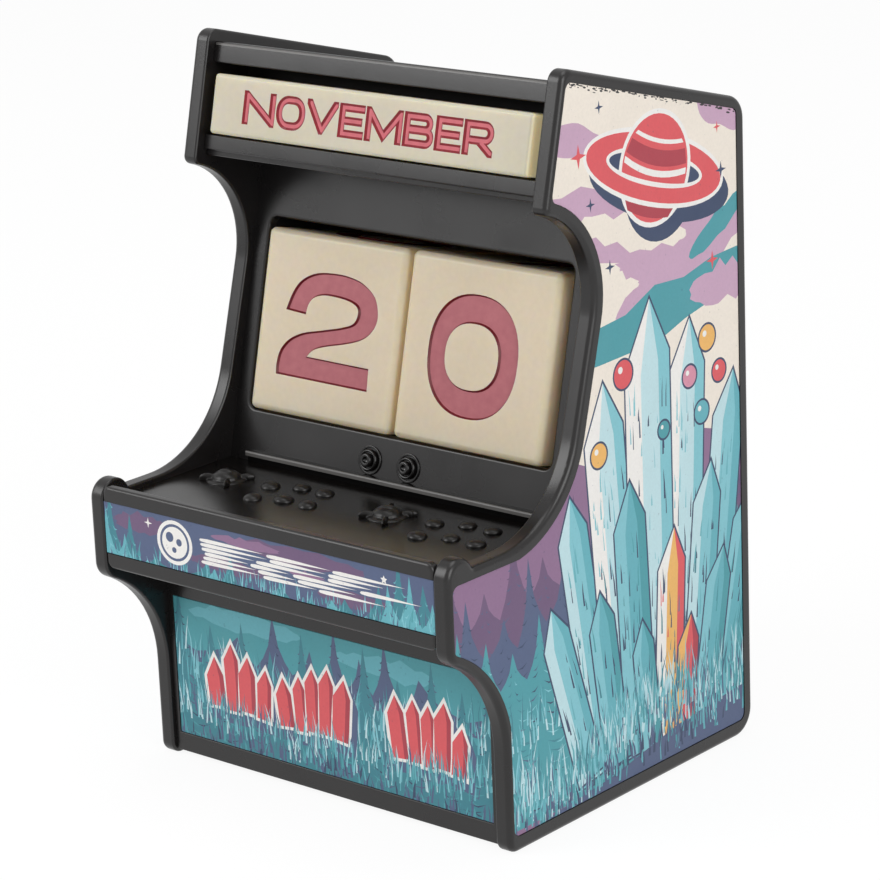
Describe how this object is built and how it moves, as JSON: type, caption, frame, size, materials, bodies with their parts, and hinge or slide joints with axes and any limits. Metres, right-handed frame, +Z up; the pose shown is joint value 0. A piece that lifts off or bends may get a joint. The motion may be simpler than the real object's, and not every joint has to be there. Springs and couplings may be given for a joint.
{
  "type": "perpetual desk calendar",
  "caption": "Perpetual desk calendar shaped like an upright game cabinet, with lift-out date cubes behind the screen frame and a turnable month bar in the marquee.",
  "frame": {"origin": "middle of the footprint, on the table", "axes": "+X across to the right-hand panel, -Y out of the screen and deck, +Z up"},
  "size_m": [0.0858, 0.087, 0.1353],
  "materials": {
    "black_plastic": "satin moulded black plastic",
    "ivory_plastic": "satin ivory plastic with sunk rose lettering",
    "printed_label": "matt printed vinyl sheet",
    "screw_steel": "small machine-made steel screw"
  },
  "bodies": {
    "cabinet": {"side_panel_left": "black_plastic", "side_panel_right": "black_plastic", "roof_panel": "black_plastic", "marquee_soffit": "black_plastic", "month_bar_tray": "black_plastic", "screen_bezel": "black_plastic", "cube_pocket": "black_plastic", "screen_stud_left": "black_plastic", "screen_stud_right": "black_plastic", "control_deck": "black_plastic", "joystick_left": "black_plastic", "joystick_right": "black_plastic", "button_cluster_left": "black_plastic", "button_cluster_right": "black_plastic", "front_apron": "black_plastic", "nose_soffit": "black_plastic", "kick_panel": "black_plastic", "base_plate": "black_plastic", "back_cover": "black_plastic", "spare_bar_rack": "black_plastic", "back_cover_screws": "screw_steel", "side_label_left": "printed_label", "side_label_right": "printed_label", "apron_label": "printed_label", "kick_label": "printed_label"},
    "date_cube_left": {"date_cube_left": "ivory_plastic"},
    "date_cube_right": {"date_cube_right": "ivory_plastic"},
    "month_bar_front": {"month_bar_front": "ivory_plastic"},
    "spare_month_bar_lower": {"spare_month_bar_lower": "ivory_plastic"},
    "spare_month_bar_upper": {"spare_month_bar_upper": "ivory_plastic"}
  },
  "joints": [
    {"name": "date_cube_left_lift", "type": "slide", "parent": "cabinet", "child": "date_cube_left", "axis": [0, -0.9711, 0.2385], "range_m": [0, 0.036]},
    {"name": "date_cube_right_lift", "type": "slide", "parent": "cabinet", "child": "date_cube_right", "axis": [0, -0.9711, 0.2385], "range_m": [0, 0.036]},
    {"name": "month_bar_lift", "type": "slide", "parent": "cabinet", "child": "month_bar_front", "axis": [0, -0.9711, 0.2385], "range_m": [0, 0.012]},
    {"name": "spare_month_bar_lower_pull", "type": "slide", "parent": "cabinet", "child": "spare_month_bar_lower", "axis": [0, 1, 0], "range_m": [0, 0.01]},
    {"name": "spare_month_bar_upper_pull", "type": "slide", "parent": "cabinet", "child": "spare_month_bar_upper", "axis": [0, 1, 0], "range_m": [0, 0.01]}
  ]
}
